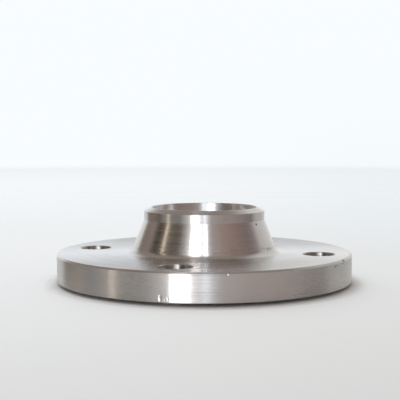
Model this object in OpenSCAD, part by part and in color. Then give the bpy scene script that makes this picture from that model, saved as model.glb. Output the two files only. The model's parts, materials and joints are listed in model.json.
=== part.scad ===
// Weld neck flange: a drilled plate with a raised gasket face on one side, and on the other a
// conical hub that thins down to a bevelled end for butt welding to a pipe.
// The real thing is one forging, turned all over and then drilled, so it is one solid.
// The origin is the centre of the gasket face. +Z runs along the bore towards the weld end,
// and the bolt holes lie on the X and Y axes. Lengths are in millimetres.

/* [Plate] */
// Outside diameter of the plate
plate_d = 185; // [178:1:195]
// Thickness of the plate, without the raised face
plate_t = 17; // [14:0.5:20]
// Chamfer on the rim at the hub side
rim_chamfer_back = 1; // [0.2:0.1:2]
// Chamfer on the rim at the gasket side
rim_chamfer_front = 0.4; // [0.2:0.1:2]

/* [Gasket face] */
// Diameter of the raised face
face_d = 122; // [105:1:124]
// Height of the raised face
face_h = 2; // [1:0.5:3]
// Chamfer on the edge of the raised face
face_chamfer = 0.3; // [0.1:0.1:0.8]

/* [Bolt holes] */
// Number of bolt holes
bolt_count = 4; // [3:1:8]
// Diameter of the bolt circle
bolt_circle_d = 145; // [143:1:150]
// Diameter of each bolt hole
bolt_hole_d = 19.5; // [14:0.5:20]
// Chamfer at the hub-side mouth of each bolt hole
bolt_chamfer_back = 0.6; // [0.1:0.1:1]
// Chamfer at the gasket-side mouth of each bolt hole
bolt_chamfer_front = 0.3; // [0.1:0.1:1]

/* [Hub] */
// Diameter where the cone would meet the back of the plate if there were no fillet
hub_d = 92; // [84:1:100]
// Radius of the fillet between the cone and the back of the plate
hub_fillet_r = 5; // [2:0.5:8]
// Height of the whole flange, from the gasket face to the weld end
total_h = 47; // [42:0.5:60]

/* [Weld end] */
// Outside diameter of the weld end, the same as the pipe's
weld_d = 76.1; // [73:0.1:80]
// Diameter of the bore
bore_d = 66.1; // [60:0.1:70]
// Length of the straight stretch between the cone and the weld bevel
weld_straight = 5.3; // [2:0.1:10]
// Angle of the weld bevel, measured from a plane square to the bore
bevel_angle = 30; // [25:0.5:40]
// Width of the flat land left between the bevel and the bore
land_w = 1.2; // [0.8:0.1:1.4]
// Chamfer at both mouths of the bore
bore_chamfer = 0.3; // [0.1:0.1:0.6]

/* [Hidden] */

$fn = 180;

plate_r = plate_d / 2;
face_r = face_d / 2;
hub_r = hub_d / 2;
weld_r = weld_d / 2;
bore_r = bore_d / 2;

// Heights above the gasket face
back_z = face_h + plate_t;
bevel_r = bore_r + land_w;
bevel_z = total_h - (weld_r - bevel_r) * tan(bevel_angle);
cone_top_z = bevel_z - weld_straight;

// The fillet's centre and the points where it leaves the plate and meets the cone
cone_lean = atan((hub_r - weld_r) / (cone_top_z - back_z));
fillet_run = hub_fillet_r / tan((90 + cone_lean) / 2);
fillet_centre = [hub_r + fillet_run, back_z + hub_fillet_r];
fillet_on_cone = [hub_r - fillet_run * sin(cone_lean), back_z + fillet_run * cos(cone_lean)];

// How far a drill or countersink runs past the surface that it cuts
overrun = 1;

// The fillet is cut this much deeper than tangent, so that it crosses the plate and the cone
fillet_bite = 0.01;

// Half of the section through the bore's axis, with a straight line in place of the fillet
module turned_outline() {
    polygon([
        [bore_r, bore_chamfer],
        [bore_r + bore_chamfer, 0],
        [face_r - face_chamfer, 0],
        [face_r, face_chamfer],
        [face_r, face_h],
        [plate_r - rim_chamfer_front, face_h],
        [plate_r, face_h + rim_chamfer_front],
        [plate_r, back_z - rim_chamfer_back],
        [plate_r - rim_chamfer_back, back_z],
        [fillet_centre.x, back_z],
        fillet_on_cone,
        [weld_r, cone_top_z],
        [weld_r, bevel_z],
        [bevel_r, total_h],
        [bore_r + bore_chamfer, total_h],
        [bore_r, total_h - bore_chamfer]
    ]);
}

// The body as it leaves the lathe
module turned_body() {
    rotate_extrude()
        difference() {
            turned_outline();
            translate(fillet_centre) circle(r = hub_fillet_r + fillet_bite);
        }
}

// One drilled hole with a chamfer at each mouth, standing on its place on the bolt circle
module bolt_hole() {
    hole_r = bolt_hole_d / 2;
    translate([0, 0, face_h - overrun])
        cylinder(h = plate_t + 2 * overrun, r = hole_r);
    translate([0, 0, back_z - bolt_chamfer_back])
        cylinder(h = bolt_chamfer_back + overrun, r1 = hole_r, r2 = hole_r + bolt_chamfer_back + overrun);
    translate([0, 0, face_h - overrun])
        cylinder(h = bolt_chamfer_front + overrun, r1 = hole_r + bolt_chamfer_front + overrun, r2 = hole_r);
}

module flange() {
    color([0.66, 0.63, 0.61])
        difference() {
            turned_body();
            for (i = [0 : bolt_count - 1])
                rotate([0, 0, i * 360 / bolt_count])
                    translate([bolt_circle_d / 2, 0, 0])
                        bolt_hole();
        }
}

flange();
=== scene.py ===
"""A weld neck flange of turned steel, standing on its gasket face on a pale studio table.

The flange is one forging, so its looks are one piece: a mesh with the lathe's chamfers, fillet, weld bevel
and gasket serrations, the drilled bolt holes, and the small dings of handling. Lengths in the outline are
in millimetres, and everything that Blender gets is in metres, in the frame of the CAD model.
"""

import json
import math

import bmesh
import bpy
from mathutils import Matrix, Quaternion, Vector


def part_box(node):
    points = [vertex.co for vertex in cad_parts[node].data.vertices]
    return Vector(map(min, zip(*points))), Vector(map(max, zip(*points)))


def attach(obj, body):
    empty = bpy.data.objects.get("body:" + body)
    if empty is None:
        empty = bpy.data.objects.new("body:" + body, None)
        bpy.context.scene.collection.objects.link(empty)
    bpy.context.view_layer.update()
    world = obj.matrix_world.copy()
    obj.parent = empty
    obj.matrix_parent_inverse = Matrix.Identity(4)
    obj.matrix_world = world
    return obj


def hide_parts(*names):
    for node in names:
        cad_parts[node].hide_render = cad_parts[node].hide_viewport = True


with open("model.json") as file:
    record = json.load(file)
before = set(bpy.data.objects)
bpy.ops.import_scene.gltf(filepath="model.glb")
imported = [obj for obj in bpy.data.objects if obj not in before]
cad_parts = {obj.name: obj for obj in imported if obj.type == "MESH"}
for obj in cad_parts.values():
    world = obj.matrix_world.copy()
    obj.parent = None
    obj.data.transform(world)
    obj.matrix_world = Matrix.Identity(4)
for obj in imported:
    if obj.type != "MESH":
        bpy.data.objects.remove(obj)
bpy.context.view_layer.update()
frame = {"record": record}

MM = 0.001

# ---------------------------------------------------------------- sizes, from the frame and its mounts

record = frame["record"]
mounts = {m["name"]: m for m in record["mounts"]}
_, flange_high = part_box("flange")

PLATE_R = flange_high.x / MM
TOTAL_H = flange_high.z / MM
BACK_Z = mounts["nut_face"]["pos_m"][2] / MM
BOLT_CIRCLE_R = mounts["bolt_holes"]["dims"]["pcd_mm"] / 2
BOLT_HOLE_R = mounts["bolt_holes"]["dims"]["hole_r_mm"]
BOLT_COUNT = mounts["bolt_holes"]["dims"]["count"]
BORE_R = mounts["bore"]["dims"]["r_mm"]
WELD_R = mounts["weld_end"]["dims"]["r_mm"]
WELD_STRAIGHT = mounts["weld_end"]["dims"]["length_mm"]

# The rest of the outline, as in the CAD source
FACE_R = 61.0
FACE_H = 2.0
FACE_CHAMFER = 0.3
RIM_CHAMFER_FRONT = 0.4
RIM_CHAMFER_BACK = 1.0
HOLE_CHAMFER_BACK = 0.6
HOLE_CHAMFER_FRONT = 0.3
HUB_R = 46.0
HUB_FILLET_R = 5.0
BEVEL_ANGLE = math.radians(30)
LAND_W = 1.2
BORE_CHAMFER = 0.3

BEVEL_R = BORE_R + LAND_W
BEVEL_Z = TOTAL_H - (WELD_R - BEVEL_R) * math.tan(BEVEL_ANGLE)
CONE_TOP_Z = BEVEL_Z - WELD_STRAIGHT
CONE_LEAN = math.atan((HUB_R - WELD_R) / (CONE_TOP_Z - BACK_Z))
FILLET_RUN = HUB_FILLET_R / math.tan((math.pi / 2 + CONE_LEAN) / 2)
FILLET_R = HUB_R + FILLET_RUN
FILLET_Z = BACK_Z + HUB_FILLET_R
FILLET_TOP_R = HUB_R - FILLET_RUN * math.sin(CONE_LEAN)
FILLET_TOP_Z = BACK_Z + FILLET_RUN * math.cos(CONE_LEAN)

# The gasket face is turned with a round-nosed tool, which leaves fine rings
SERRATION_PITCH = 0.8
SERRATION_DEPTH = 0.05

# Handling marks pressed into the metal: angle round the flange, height, half width, half height, depth
RIM_DINGS = [
    (-69.4, 17.8, 0.60, 0.6, 0.20),
    (-91.9, 4.6, 0.55, 1.3, 0.26),
    (-90.2, 3.6, 0.45, 0.8, 0.03),
    (-89.2, 4.2, 0.40, 0.9, 0.025),
    (-14.3, 18.6, 0.90, 0.5, 0.35),
    (-16.6, 18.2, 0.50, 0.4, 0.18),
]
HUB_PITS = [
    (-22.3, 37.8, 0.45, 0.40, 0.30),
]

# Dark specks and smudges on the steel: angle round the flange, radius, height, size
SPECKS = [
    (-14.3, 91.9, 18.6, 1.6),
    (-15.6, 92.5, 17.4, 0.9),
    (-21.0, 92.5, 16.9, 0.7),
    (-22.5, 92.5, 16.5, 0.9),
    (-22.3, 38.4, 37.8, 1.1),
    (-17.5, 45.2, 22.8, 1.3),
    (-14.5, 45.2, 23.2, 1.5),
    (-11.5, 45.2, 22.9, 1.3),
]

# The rim is scuffed on one side, to this far from the middle of the scuffs
SCUFF_ANGLE = math.radians(-12)
SCUFF_REACH = math.radians(38)

# The tool chattered round the foot of the hub and left short dashes. They set in over the first stretch of
# height, fade over the second, and fade outwards over the stretch of radius.
FOOT_LOW = (20.6, 22.4)
FOOT_HIGH = (22.6, 29.0)
FOOT_R = (47.5, 50.0)

# How finely the mesh is cut
SECTOR_STEPS = 72
SECTOR_SIDE_STEPS = 22
FLANK_STEPS = 16
FILLET_STEPS = 12
RIM_EDGE_STEPS = 3
STRAIGHT_STEPS = 5
BEVEL_STEPS = 4
BORE_STEPS = 20
HOLE_STEPS = 6
MARK_STEPS = 7

# A row or column of points nearer than this to the one before, in millimetres or degrees, is left out
SMALLEST_STEP = 1e-3

# Points closer than this, in metres, are welded, and edges sharper than this angle stay crisp
WELD_DISTANCE = 2e-6
SHARP_ANGLE = math.radians(15)

# A mark is shaped out to this many times its half width
MARK_REACH = 2.2

# Width of the narrow bands that join the round edges to the drilled flat faces
BORDER = 0.6

# The rings of points round a bolt hole, as shares of the way from its mouth to the sector's edge
HOLE_RINGS = (0.0, 0.03, 0.1, 0.25, 0.45, 0.7, 1.0)

# Material slots of the mesh
TURNED_SLOT = 0
DRILLED_SLOT = 1

# ---------------------------------------------------------------- the flange's mesh

def spread(start, end, steps):
    """Points from start to end in equal steps."""
    return [
        tuple(a + (b - a) * i / steps for a, b in zip(start, end))
        for i in range(steps + 1)
    ]


def arc(centre, radius, start, end, steps):
    """Points (r, z) along a round stretch, from one angle to another."""
    angles = [start + (end - start) * i / steps for i in range(steps + 1)]
    return [(centre[0] + radius * math.cos(a), centre[1] + radius * math.sin(a)) for a in angles]


def serrated_face():
    """Points (r, z) across the gasket face, crest and groove in turn."""
    inner = BORE_R + BORE_CHAMFER
    outer = FACE_R - FACE_CHAMFER
    count = int((outer - inner) / SERRATION_PITCH)
    pitch = (outer - inner) / count
    points = []
    for i in range(count):
        points.append((inner + i * pitch, 0.0))
        points.append((inner + (i + 0.5) * pitch, SERRATION_DEPTH))
    points.append((outer, 0.0))
    return points


def near_marks(marks, base, reach_of):
    """The base values with extra ones close to each mark, so that the mark has points to shape it."""
    values = list(base)
    for mark in marks:
        centre, reach = reach_of(mark)
        values += [centre + reach * i / MARK_STEPS for i in range(-MARK_STEPS, MARK_STEPS + 1)]
    low, high = min(base), max(base)
    kept = []
    for value in sorted(v for v in values if low <= v <= high):
        if value in (low, high) or not kept or value - kept[-1] > SMALLEST_STEP:
            kept.append(value)
    return kept


def marked_column(start, end, marks):
    """Points (r, z) up a straight flank from start to end, closer together at the marks' heights."""
    heights = near_marks(
        marks,
        [z for _, z in spread(start, end, FLANK_STEPS)],
        lambda mark: (mark[1], MARK_REACH * mark[3]),
    )
    slope = (end[0] - start[0]) / (end[1] - start[1])
    return [(start[0] + slope * (z - start[1]), z) for z in heights]


def sector_angles(k):
    """Angles, in radians, of the mesh's columns in the sector centred on bolt hole k."""
    middle = k * 360 / BOLT_COUNT
    half = 180 / BOLT_COUNT
    base = [a for a, in spread((middle - half,), (middle + half,), SECTOR_STEPS)]
    marks = [
        (turned, z, wide, tall, depth)
        for angle, z, wide, tall, depth in RIM_DINGS + HUB_PITS
        for turned in (angle, angle + 360)
        if middle - half < turned < middle + half
    ]
    angles = near_marks(marks, base, lambda mark: (mark[0], math.degrees(MARK_REACH * mark[2] / PLATE_R)))
    return [math.radians(a) for a in angles]


def ding_depth(marks, angle, radius, z):
    """How far the marks press the surface in at a point on it."""
    depth = 0.0
    for mark_angle, mark_z, wide, tall, deep in marks:
        turn = math.remainder(angle - math.radians(mark_angle), 2 * math.pi)
        across = turn * radius / wide
        along = (z - mark_z) / tall
        depth += deep * math.exp(-(across * across + along * along))
    return depth


def add_ring_band(bm, points, angles, marks=()):
    """A band of faces through the points (r, z), swept over the angles and pressed in by the marks."""
    grid = []
    for r, z in points:
        row = []
        for a in angles:
            radius = r - ding_depth(marks, a, r, z) if marks else r
            row.append(bm.verts.new((radius * math.cos(a) * MM, radius * math.sin(a) * MM, z * MM)))
        grid.append(row)
    add_faces_between(bm, grid, TURNED_SLOT)


def add_faces_between(bm, grid, slot, closed=False):
    """Faces between neighbouring rows of vertices. A closed row joins its end to its start."""
    for lower, upper in zip(grid, grid[1:]):
        count = len(lower)
        for i in range(count if closed else count - 1):
            j = (i + 1) % count
            bm.faces.new((lower[i], lower[j], upper[j], upper[i])).material_index = slot


def drilled_patch(bm, z, inner_r, outer_r, mouth_r, angles):
    """The flat face between two circles round the flange's axis, in one sector, with its bolt hole left open.

    Its rings run from the hole's mouth out to the sector's edge, blended in polar coordinates.
    Returns the mouth's points, as angles about the hole's own axis, and the angle of the sector's middle.
    """
    low, high = angles[0], angles[-1]
    middle = (low + high) / 2
    sides = [r for r, in spread((inner_r,), (outer_r,), SECTOR_SIDE_STEPS)]
    border = [(inner_r, a) for a in angles]
    border += [(r, high) for r in sides[1:]]
    border += [(outer_r, a) for a in reversed(angles[:-1])]
    border += [(r, low) for r in reversed(sides[1:-1])]
    around = []
    for r, a in border:
        x = r * math.cos(a - middle) - BOLT_CIRCLE_R
        y = r * math.sin(a - middle)
        around.append(math.atan2(y, x))
    grid = []
    for share in HOLE_RINGS:
        row = []
        for (r, a), turn in zip(border, around):
            x = BOLT_CIRCLE_R + mouth_r * math.cos(turn)
            y = mouth_r * math.sin(turn)
            mouth = (math.hypot(x, y), math.atan2(y, x) + middle)
            radius = mouth[0] + (r - mouth[0]) * share
            angle = mouth[1] + (a - mouth[1]) * share
            row.append(bm.verts.new((radius * math.cos(angle) * MM, radius * math.sin(angle) * MM, z * MM)))
        grid.append(row)
    add_faces_between(bm, grid, TURNED_SLOT, closed=True)
    return around, middle


def drilled_wall(bm, points, around, middle):
    """A band round one bolt hole's own axis, through the points (r, z)."""
    grid = []
    for r, z in points:
        row = []
        for turn in around:
            x = BOLT_CIRCLE_R + r * math.cos(turn)
            y = r * math.sin(turn)
            row.append(bm.verts.new((
                (x * math.cos(middle) - y * math.sin(middle)) * MM,
                (x * math.sin(middle) + y * math.cos(middle)) * MM,
                z * MM,
            )))
        grid.append(row)
    add_faces_between(bm, grid, DRILLED_SLOT, closed=True)


def add_sector(bm, k):
    """A quarter of the flange, centred on bolt hole k."""
    angles = sector_angles(k)
    back_in, back_out = FILLET_R + 2 * BORDER, PLATE_R - RIM_CHAMFER_BACK - BORDER
    front_in, front_out = FACE_R + BORDER, PLATE_R - RIM_CHAMFER_FRONT - BORDER
    rim_low = (PLATE_R, FACE_H + RIM_CHAMFER_FRONT)
    rim_high = (PLATE_R, BACK_Z - RIM_CHAMFER_BACK)
    bore_low = (BORE_R, BORE_CHAMFER)
    bore_high = (BORE_R, TOTAL_H - BORE_CHAMFER)
    fillet = arc((FILLET_R, FILLET_Z), HUB_FILLET_R, -math.pi / 2, CONE_LEAN - math.pi, FILLET_STEPS)

    add_ring_band(bm, serrated_face(), angles)
    add_ring_band(bm, [(FACE_R - FACE_CHAMFER, 0.0), (FACE_R, FACE_CHAMFER), (FACE_R, FACE_H)], angles)
    add_ring_band(bm, [(FACE_R, FACE_H), (front_in, FACE_H)], angles)
    add_ring_band(bm, [(front_out, FACE_H), (PLATE_R - RIM_CHAMFER_FRONT, FACE_H), rim_low], angles)
    add_ring_band(bm, marked_column(rim_low, rim_high, RIM_DINGS), angles, RIM_DINGS)
    edge = spread(rim_high, (PLATE_R - RIM_CHAMFER_BACK, BACK_Z), RIM_EDGE_STEPS)
    add_ring_band(bm, edge, angles, RIM_DINGS)
    add_ring_band(bm, [(PLATE_R - RIM_CHAMFER_BACK, BACK_Z), (back_out, BACK_Z)], angles, RIM_DINGS)
    add_ring_band(bm, [(back_in, BACK_Z), (FILLET_R, BACK_Z)], angles)
    add_ring_band(bm, fillet, angles)
    cone = marked_column((FILLET_TOP_R, FILLET_TOP_Z), (WELD_R, CONE_TOP_Z), HUB_PITS)
    add_ring_band(bm, cone, angles, HUB_PITS)
    add_ring_band(bm, spread((WELD_R, CONE_TOP_Z), (WELD_R, BEVEL_Z), STRAIGHT_STEPS), angles)
    add_ring_band(bm, spread((WELD_R, BEVEL_Z), (BEVEL_R, TOTAL_H), BEVEL_STEPS), angles)
    add_ring_band(bm, [(BEVEL_R, TOTAL_H), (BORE_R + BORE_CHAMFER, TOTAL_H), bore_high], angles)
    add_ring_band(bm, spread(bore_high, bore_low, BORE_STEPS), angles)
    add_ring_band(bm, [bore_low, (BORE_R + BORE_CHAMFER, 0.0)], angles)

    mouth_back = BOLT_HOLE_R + HOLE_CHAMFER_BACK
    mouth_front = BOLT_HOLE_R + HOLE_CHAMFER_FRONT
    wall_high = (BOLT_HOLE_R, BACK_Z - HOLE_CHAMFER_BACK)
    wall_low = (BOLT_HOLE_R, FACE_H + HOLE_CHAMFER_FRONT)
    around, middle = drilled_patch(bm, BACK_Z, back_in, back_out, mouth_back, angles)
    drilled_wall(bm, [(mouth_back, BACK_Z), wall_high], around, middle)
    drilled_wall(bm, spread(wall_high, wall_low, HOLE_STEPS), around, middle)

    # This chamfer takes its points from the gasket side, and the wall above takes them from the hub side.
    # They meet on one circle but their points differ, so this seam isn't welded.
    around, middle = drilled_patch(bm, FACE_H, front_in, front_out, mouth_front, angles)
    drilled_wall(bm, [wall_low, (mouth_front, FACE_H)], around, middle)


def build_flange(materials):
    """The whole flange as one mesh. It isn't watertight, because a few of its seams aren't welded."""
    bm = bmesh.new()
    for k in range(BOLT_COUNT):
        add_sector(bm, k)
    bmesh.ops.remove_doubles(bm, verts=bm.verts, dist=WELD_DISTANCE)
    bmesh.ops.recalc_face_normals(bm, faces=bm.faces)
    mesh = bpy.data.meshes.new("turned_flange")
    bm.to_mesh(mesh)
    bm.free()
    for material in materials:
        mesh.materials.append(material)
    mesh.shade_smooth()
    mesh.set_sharp_from_angle(angle=SHARP_ANGLE)
    piece = bpy.data.objects.new("turned_flange", mesh)
    bpy.context.scene.collection.objects.link(piece)
    return piece


# ---------------------------------------------------------------- materials

# Colours of the steel: its rings, where it is worn, where it is scuffed, in the bore, and in a speck
STEEL_RINGS = ((0.59, 0.575, 0.565), (0.622, 0.607, 0.597))
STEEL_WORN = (0.55, 0.52, 0.50)
STEEL_SCUFFED = (0.52, 0.52, 0.51)
STEEL_BORE = (0.84, 0.82, 0.81)
SPECK = (0.05, 0.035, 0.03)
DRILLED_RINGS = ((0.50, 0.48, 0.46), (0.60, 0.58, 0.56))

# Roughness of the steel: its rings, and what wear, scuffs, the bore and the tool's dashes add
ROUGH_RINGS = (0.16, 0.26)
ROUGH_WORN = 0.04
ROUGH_SCUFFED = 0.09
ROUGH_BORE = 0.12
ROUGH_DASHES = 0.2
ROUGH_DRILLED = (0.26, 0.34)

# The table top: its radius and sides, where it fades out, and where its sheen sets in round the flange
TABLE_R = 3.0
TABLE_SIDES = 96
TABLE_FADE = (0.6, 2.6)
SHEEN_START = (PLATE_R * MM, 0.104)

# Its paper at the left, and at the right with a painted shade that darkens it, and where one turns into the
# other, then further off, and where that sets in
PAPER_LEFT = (0.845, 0.86, 0.87)
PAPER_RIGHT_PAINTED_SHADE = (0.785, 0.785, 0.765)
PAINTED_SHADE_ACROSS = (-0.11, 0.14)
PAPER_FAR = (0.77, 0.805, 0.83)
PAPER_OUTWARD = (0.12, 0.5)

# The paper as the steel reflects it: the painted shade it takes at the studio's back, where that sets in,
# and where the paper fades out
PAPER_SHADE = (0.33, 0.325, 0.31)
SHADE_START = (-0.10, 0.05)
REFLECTION_FADE = (0.2, 0.7)


def node_material(name):
    """A new node material, its tree and its surface shader."""
    material = bpy.data.materials.new(name)
    material.use_nodes = True
    tree = material.node_tree
    shader = tree.nodes["Principled BSDF"]
    return material, tree, shader


def calculate(tree, operation, a, b=0.0):
    """A Math node. a and b are numbers or sockets."""
    node = tree.nodes.new("ShaderNodeMath")
    node.operation = operation
    for socket, value in zip(node.inputs, (a, b)):
        if isinstance(value, bpy.types.NodeSocket):
            tree.links.new(value, socket)
        else:
            socket.default_value = value
    return node.outputs[0]


def between(tree, value, low, high, to_low=0.0, to_high=1.0):
    """The value mapped smoothly from low..high to to_low..to_high, and held at the ends."""
    node = tree.nodes.new("ShaderNodeMapRange")
    node.interpolation_type = "SMOOTHSTEP"
    tree.links.new(value, node.inputs["Value"])
    node.inputs["From Min"].default_value = low
    node.inputs["From Max"].default_value = high
    node.inputs["To Min"].default_value = to_low
    node.inputs["To Max"].default_value = to_high
    return node.outputs["Result"]


def blend_colours(tree, share, first, second):
    """A mix of two colours, each a colour or a socket."""
    node = tree.nodes.new("ShaderNodeMix")
    node.data_type = "RGBA"
    tree.links.new(share, node.inputs["Factor"])
    for socket, value in ((node.inputs["A"], first), (node.inputs["B"], second)):
        if isinstance(value, bpy.types.NodeSocket):
            tree.links.new(value, socket)
        else:
            socket.default_value = (*value, 1.0)
    return node.outputs["Result"]


def lathe_axes(tree):
    """Radius, height, and the cosine and sine of the angle about the bore's axis, as sockets."""
    place = tree.nodes.new("ShaderNodeTexCoord").outputs["Object"]
    split = tree.nodes.new("ShaderNodeSeparateXYZ")
    tree.links.new(place, split.inputs[0])
    x, y, z = split.outputs
    radius = calculate(tree, "SQRT", calculate(tree, "ADD", calculate(tree, "MULTIPLY", x, x),
                                               calculate(tree, "MULTIPLY", y, y)))
    return radius, z, calculate(tree, "DIVIDE", x, radius), calculate(tree, "DIVIDE", y, radius)


def studio_axes(tree, vector):
    """A vector's parts towards the studio's right, its back, and up.

    The studio's front faces the main camera. The turn is a fixed angle, so it stays when the view moves.
    """
    turn = tree.nodes.new("ShaderNodeVectorRotate")
    turn.rotation_type = "Z_AXIS"
    turn.inputs["Angle"].default_value = -math.radians(STUDIO_TURN)
    tree.links.new(vector, turn.inputs["Vector"])
    split = tree.nodes.new("ShaderNodeSeparateXYZ")
    tree.links.new(turn.outputs[0], split.inputs[0])
    return split.outputs


def streaks(tree, axes, width, turns, detail=2.0):
    """Noise drawn out round the axis.

    width is its size across the lines, in millimetres, and a higher turns makes it change faster along them.
    """
    radius, height, cosine, sine = axes
    join = tree.nodes.new("ShaderNodeCombineXYZ")
    tree.links.new(calculate(tree, "MULTIPLY", radius, 1 / (width * MM)), join.inputs[0])
    tree.links.new(calculate(tree, "MULTIPLY", height, 1 / (width * MM)), join.inputs[1])
    tree.links.new(calculate(tree, "MULTIPLY", cosine, turns), join.inputs[2])
    noise = tree.nodes.new("ShaderNodeTexNoise")
    noise.noise_dimensions = "4D"
    noise.inputs["Scale"].default_value = 1.0
    noise.inputs["Detail"].default_value = detail
    tree.links.new(join.outputs[0], noise.inputs["Vector"])
    tree.links.new(calculate(tree, "MULTIPLY", sine, turns), noise.inputs["W"])
    return noise.outputs["Fac"]


def near_specks(tree):
    """How close a point is to the middle of a speck: 1 there, and 0 outside them all."""
    place = tree.nodes.new("ShaderNodeTexCoord").outputs["Object"]
    share = None
    for angle, radius, z, size in SPECKS:
        turn = math.radians(angle)
        reach = tree.nodes.new("ShaderNodeVectorMath")
        reach.operation = "DISTANCE"
        tree.links.new(place, reach.inputs[0])
        reach.inputs[1].default_value = (radius * math.cos(turn) * MM, radius * math.sin(turn) * MM, z * MM)
        one = between(tree, reach.outputs["Value"], 0.3 * size * MM, size * MM, 1.0, 0.0)
        share = one if share is None else calculate(tree, "MAXIMUM", share, one)
    return share


def rim_scuffs(tree, axes, worn):
    """1 where the rim is scuffed most, and 0 away from there."""
    radius, _, cosine, sine = axes
    facing = calculate(tree, "ADD", calculate(tree, "MULTIPLY", cosine, math.cos(SCUFF_ANGLE)),
                       calculate(tree, "MULTIPLY", sine, math.sin(SCUFF_ANGLE)))
    on_side = between(tree, facing, math.cos(SCUFF_REACH), 1.0)
    on_rim = between(tree, radius, (PLATE_R - 3) * MM, (PLATE_R - 1) * MM)
    uneven = between(tree, worn, 0.3, 0.6, 0.85, 1.0)
    return calculate(tree, "MULTIPLY", calculate(tree, "MULTIPLY", on_side, on_rim), uneven)


def hub_foot(tree, axes):
    """1 round the foot of the hub, and 0 away from there."""
    radius, height, _, _ = axes
    above = between(tree, height, FOOT_LOW[0] * MM, FOOT_LOW[1] * MM)
    under = between(tree, height, FOOT_HIGH[1] * MM, FOOT_HIGH[0] * MM)
    inside = between(tree, radius, FOOT_R[1] * MM, FOOT_R[0] * MM)
    return calculate(tree, "MULTIPLY", calculate(tree, "MULTIPLY", above, under), inside)


def turned_tone(tree, lines, worn, scuffs, in_bore):
    """The steel's colour: fine rings and specks, duller where it is worn or scuffed, brighter in the bore."""
    tone = blend_colours(tree, between(tree, lines, 0.3, 0.7), *STEEL_RINGS)
    tone = blend_colours(tree, between(tree, worn, 0.45, 0.75, 0.0, 0.35), tone, STEEL_WORN)
    tone = blend_colours(tree, scuffs, tone, STEEL_SCUFFED)
    tone = blend_colours(tree, in_bore, tone, STEEL_BORE)
    return blend_colours(tree, near_specks(tree), tone, SPECK)


def turned_roughness(tree, lines, worn, scuffs, in_bore, dashes):
    """The steel's roughness, which changes from ring to ring and grows with wear."""
    rough = calculate(tree, "ADD", between(tree, lines, 0.3, 0.7, *ROUGH_RINGS),
                      between(tree, worn, 0.3, 0.8, 0.0, ROUGH_WORN))
    rough = calculate(tree, "ADD", rough, calculate(tree, "MULTIPLY", scuffs, ROUGH_SCUFFED))
    rough = calculate(tree, "ADD", rough, calculate(tree, "MULTIPLY", in_bore, ROUGH_BORE))
    return calculate(tree, "ADD", rough, calculate(tree, "MULTIPLY", dashes, ROUGH_DASHES))


def make_brushed_metal(tree, shader, around):
    """Sets the shader to metal whose highlights spread across the tangent that comes from the node around."""
    tree.links.new(around.outputs[0], shader.inputs["Tangent"])
    shader.inputs["Metallic"].default_value = 1.0
    shader.inputs["Anisotropic"].default_value = 1.0
    shader.inputs["Anisotropic Rotation"].default_value = 0.25


def turned_steel():
    """Bright turned steel: fine rings round the bore's axis that spread a highlight across them."""
    material, tree, shader = node_material("turned_steel")
    axes = lathe_axes(tree)
    lines = streaks(tree, axes, 0.7, 0.6)
    broad = streaks(tree, axes, 2.4, 0.8)
    worn = streaks(tree, axes, 14.0, 5.0, 4.0)
    chatter = streaks(tree, axes, 0.6, 9.0, 3.0)
    scuffs = rim_scuffs(tree, axes, worn)
    at_foot = hub_foot(tree, axes)
    dashes = calculate(tree, "MULTIPLY", at_foot, between(tree, chatter, 0.5, 0.65))
    in_bore = between(tree, axes[0], (BORE_R + 0.5) * MM, BORE_R * MM)

    tone = turned_tone(tree, lines, worn, scuffs, in_bore)
    tree.links.new(tone, shader.inputs["Base Color"])
    rough = turned_roughness(tree, lines, worn, scuffs, in_bore, dashes)
    tree.links.new(rough, shader.inputs["Roughness"])

    bump = tree.nodes.new("ShaderNodeBump")
    bump.inputs["Strength"].default_value = 0.5
    bump.inputs["Distance"].default_value = 0.006 * MM
    ripple = calculate(tree, "MULTIPLY", calculate(tree, "MULTIPLY", chatter, at_foot), 8.0)
    tree.links.new(calculate(tree, "ADD", broad, ripple), bump.inputs["Height"])
    tree.links.new(bump.outputs[0], shader.inputs["Normal"])

    around = tree.nodes.new("ShaderNodeTangent")
    around.direction_type = "RADIAL"
    around.axis = "Z"
    make_brushed_metal(tree, shader, around)
    return material


def drilled_steel():
    """The walls of the bolt holes: rings from the drill round each hole's own axis."""
    material, tree, shader = node_material("drilled_steel")
    rings = streaks(tree, lathe_axes(tree), 0.5, 1.0)
    tone = blend_colours(tree, between(tree, rings, 0.3, 0.7), *DRILLED_RINGS)
    tree.links.new(tone, shader.inputs["Base Color"])
    tree.links.new(between(tree, rings, 0.3, 0.7, *ROUGH_DRILLED), shader.inputs["Roughness"])

    around = tree.nodes.new("ShaderNodeVectorMath")
    around.operation = "CROSS_PRODUCT"
    tree.links.new(tree.nodes.new("ShaderNodeNewGeometry").outputs["Normal"], around.inputs[0])
    around.inputs[1].default_value = (0.0, 0.0, 1.0)
    make_brushed_metal(tree, shader, around)
    return material


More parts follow.
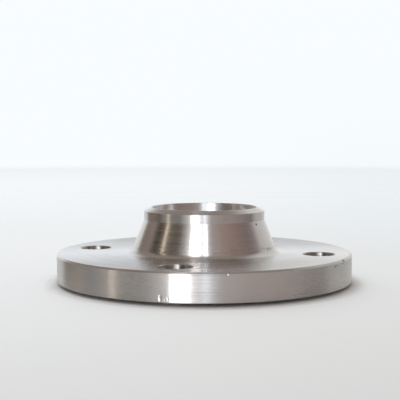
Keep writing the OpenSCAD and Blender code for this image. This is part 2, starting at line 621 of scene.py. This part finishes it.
def table_paper():
    """Matt pale paper with a painted shade towards the studio's right, which fades into the backdrop at a
    grazing angle and far off.

    It can't be seen from below. The steel reflects it darker at the back, as a painted shade, and sees it
    fade out much nearer.
    """
    material, tree, shader = node_material("table_paper")
    shader.inputs["Roughness"].default_value = 0.7
    shader.inputs["Specular IOR Level"].default_value = 0.1
    radius, *_ = lathe_axes(tree)
    steel_sees = tree.nodes.new("ShaderNodeLightPath").outputs["Is Glossy Ray"]
    right, back, _ = studio_axes(tree, tree.nodes.new("ShaderNodeTexCoord").outputs["Object"])
    # Painted shade: the paper turns darker towards the studio's right
    paper = blend_colours(tree, between(tree, right, *PAINTED_SHADE_ACROSS), PAPER_LEFT, PAPER_RIGHT_PAINTED_SHADE)
    paper = blend_colours(tree, between(tree, radius, *PAPER_OUTWARD), paper, PAPER_FAR)
    # Painted shade, only in the steel's reflections: the paper turns darker towards the studio's back
    shade = calculate(tree, "MULTIPLY", steel_sees, between(tree, back, *SHADE_START))
    tree.links.new(blend_colours(tree, shade, paper, PAPER_SHADE), shader.inputs["Base Color"])

    far = between(tree, radius, *TABLE_FADE)
    below = tree.nodes.new("ShaderNodeNewGeometry").outputs["Backfacing"]
    sheen = tree.nodes.new("ShaderNodeFresnel")
    sheen.inputs["IOR"].default_value = 1.5
    clear_of_flange = between(tree, radius, *SHEEN_START)
    shine = calculate(tree, "MULTIPLY", sheen.outputs[0], clear_of_flange)
    faded = calculate(tree, "MULTIPLY", between(tree, radius, *REFLECTION_FADE), steel_sees)
    gone = calculate(tree, "MAXIMUM", calculate(tree, "MAXIMUM", far, below),
                     calculate(tree, "MAXIMUM", shine, faded))

    clear = tree.nodes.new("ShaderNodeBsdfTransparent")
    mix = tree.nodes.new("ShaderNodeMixShader")
    tree.links.new(gone, mix.inputs[0])
    tree.links.new(shader.outputs[0], mix.inputs[1])
    tree.links.new(clear.outputs[0], mix.inputs[2])
    tree.links.new(mix.outputs[0], tree.nodes["Material Output"].inputs["Surface"])
    return material


# ---------------------------------------------------------------- the studio

# The studio's front, where the camera stands, is turned this far from -Y. Angles round the studio are counted
# from there, to the right as the camera sees it.
STUDIO_TURN = 13.0
CAMERA_ELEVATION = 9.08
CAMERA_DISTANCE = 0.5727
CAMERA_LENS = 80.7
SENSOR_WIDTH = 36.0

# The camera looks at a point this far to the left of the bore's axis, and this high
AIM_LEFT = 0.0027
AIM_HEIGHT = 0.0512

# How far off the bright things in the room stand
ROOM_DISTANCE = 1.5


def towards(azimuth, elevation=0.0):
    """The direction from the flange to a place in the studio."""
    a = math.radians(STUDIO_TURN + azimuth)
    e = math.radians(elevation)
    return Vector((math.sin(a) * math.cos(e), -math.cos(a) * math.cos(e), math.sin(e)))


def add_camera():
    """The camera, at the front of the studio and a little above the flange."""
    data = bpy.data.cameras.new("camera")
    data.lens = CAMERA_LENS
    data.sensor_width = SENSOR_WIDTH
    data.clip_end = 50.0
    camera = bpy.data.objects.new("camera", data)
    bpy.context.scene.collection.objects.link(camera)
    camera.location = towards(0, CAMERA_ELEVATION) * CAMERA_DISTANCE
    aim = towards(-90) * AIM_LEFT + Vector((0, 0, AIM_HEIGHT))
    camera.rotation_euler = (aim - camera.location).to_track_quat("-Z", "Y").to_euler()
    bpy.context.scene.camera = camera


def add_panel(name, azimuth, elevation, distance, width, height, colour, power, tilt=0.0):
    """A rectangular light that faces the flange, tilted about its line of sight, unseen by the camera."""
    data = bpy.data.lights.new(name, "AREA")
    data.shape = "RECTANGLE"
    data.size = width
    data.size_y = height
    data.color = colour
    data.energy = power
    panel = bpy.data.objects.new(name, data)
    bpy.context.scene.collection.objects.link(panel)
    panel.location = towards(azimuth, elevation) * distance
    facing = (-panel.location).to_track_quat("-Z", "Y")
    panel.rotation_euler = (facing @ Quaternion((0, 0, 1), math.radians(tilt))).to_euler()
    panel.visible_camera = False
    return panel


def add_reflection(name, azimuth, elevation, width, height, colour, power, tilt):
    """A bright strip of the room that only the steel sees."""
    panel = add_panel(name, azimuth, elevation, ROOM_DISTANCE, width, height, colour, power, tilt)
    panel.visible_diffuse = False


# What stands round the table: angle from the studio's front, then the colour of the room there
ROOM = [
    (-180, (0.94, 0.99, 1.05)),
    (-140, (0.92, 0.93, 0.90)),
    (-131, (0.27, 0.24, 0.20)),
    (-118, (0.25, 0.18, 0.14)),
    (-107, (0.28, 0.21, 0.14)),
    (-98, (0.10, 0.08, 0.06)),
    (-90, (0.05, 0.04, 0.03)),
    (-81, (0.28, 0.22, 0.17)),
    (-66, (0.235, 0.20, 0.155)),
    (-59, (0.135, 0.117, 0.09)),
    (-46, (0.175, 0.155, 0.13)),
    (-38, (0.52, 0.49, 0.47)),
    (-30, (0.95, 0.94, 0.95)),
    (-24, (1.55, 1.55, 1.58)),
    (3, (1.55, 1.58, 1.65)),
    (7, (1.00, 1.00, 1.04)),
    (13, (0.56, 0.51, 0.50)),
    (34, (0.45, 0.34, 0.30)),
    (60, (0.36, 0.26, 0.23)),
    (88, (0.25, 0.20, 0.19)),
    (100, (0.30, 0.255, 0.245)),
    (112, (0.70, 0.67, 0.65)),
    (160, (0.88, 0.87, 0.85)),
    (171, (0.93, 0.935, 0.92)),
    (180, (0.94, 0.99, 1.05)),
]

# The ceiling: its colour, its edge as the upward part of a direction, how much lower that is behind, and how
# the drop grows to the left
CEILING = (0.36, 0.31, 0.28)
CEILING_EDGE = (0.60, 0.95)
CEILING_DROP = 0.19
CEILING_SLOPE = 0.42

# What the steel reflects from low in front, past where the table fades out of its reflections, and the upward
# part of a direction where that sets in
BELOW = (0.25, 0.24, 0.225)
BELOW_EDGE = (-0.07, -0.20)

# The backdrop, which the camera sees in place of the room
BACKDROP_LEFT = (0.945, 0.98, 1.0)
BACKDROP_RIGHT = (0.90, 0.945, 0.975)

# The bright things in the room: name, azimuth, elevation, width, height, colour, power, tilt
BRIGHT_THINGS = [
    ("window", -16.3, 17, 0.375, 1.50, (1.0, 1.0, 1.0), 10.0, -4),
    ("door_gap", 2.0, 30, 0.11, 0.95, (0.74, 0.85, 1.0), 1.6, -5),
    ("door_frame_left", -73.6, 12, 0.06, 2.0, (1.0, 0.86, 0.66), 0.43, 9),
    ("door_frame_right", -70.4, 12, 0.06, 2.0, (1.0, 0.88, 0.74), 0.36, 9),
]


def room_ramp(tree, x, y):
    """The colour of the room round the table, for a direction's parts to the right and to the back."""
    azimuth = calculate(tree, "ARCTAN2", x, calculate(tree, "MULTIPLY", y, -1.0))
    turns = calculate(tree, "MULTIPLY", azimuth, 0.5 / math.pi)
    ramp = tree.nodes.new("ShaderNodeValToRGB")
    tree.links.new(calculate(tree, "ADD", turns, 0.5), ramp.inputs[0])
    stops = ramp.color_ramp.elements
    stops.remove(stops[1])
    stops[0].position = 0.0
    stops[0].color = (*ROOM[0][1], 1.0)
    for angle, colour in ROOM[1:]:
        stops.new((angle + 180) / 360).color = (*colour, 1.0)
    return ramp.outputs[0]


def add_world():
    """The room, which shows in the steel and lights the table. The camera sees the plain backdrop instead."""
    world = bpy.data.worlds.new("studio")
    bpy.context.scene.world = world
    world.use_nodes = True
    tree = world.node_tree
    x, y, z = studio_axes(tree, tree.nodes.new("ShaderNodeTexCoord").outputs["Generated"])

    # The ceiling comes down lower behind, and lower still at the left
    slope = calculate(tree, "SUBTRACT", CEILING_DROP, calculate(tree, "MULTIPLY", x, CEILING_SLOPE))
    lower_behind = calculate(tree, "MULTIPLY", slope, between(tree, y, 0.0, 0.3))
    high = between(tree, calculate(tree, "ADD", z, lower_behind), *CEILING_EDGE)
    room = blend_colours(tree, high, room_ramp(tree, x, y), CEILING)
    low_front = calculate(tree, "MULTIPLY", between(tree, z, *BELOW_EDGE), between(tree, y, 0.5, -0.1))
    room = blend_colours(tree, low_front, room, BELOW)

    low_right = calculate(tree, "MULTIPLY", between(tree, x, -0.05, 0.2), between(tree, z, 0.10, -0.08))
    backdrop = blend_colours(tree, low_right, BACKDROP_LEFT, BACKDROP_RIGHT)
    seen = tree.nodes.new("ShaderNodeLightPath").outputs["Is Camera Ray"]
    tree.links.new(blend_colours(tree, seen, room, backdrop), tree.nodes["Background"].inputs["Color"])


def add_table(material):
    """The round table top that the flange stands on."""
    bpy.ops.mesh.primitive_circle_add(vertices=TABLE_SIDES, radius=TABLE_R, fill_type="NGON")
    table = bpy.context.object
    table.name = "table"
    table.data.materials.append(material)


# ---------------------------------------------------------------- put together

add_camera()
add_world()
add_table(table_paper())
for bright_thing in BRIGHT_THINGS:
    add_reflection(*bright_thing)
overhead = add_panel("overhead", -150, 55, 1.6, 2.0, 2.0, (0.95, 0.985, 1.0), 18)
overhead.visible_glossy = False

flange = build_flange([turned_steel(), drilled_steel()])
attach(flange, "root")
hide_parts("flange")

bpy.context.scene.view_settings.view_transform = "Standard"
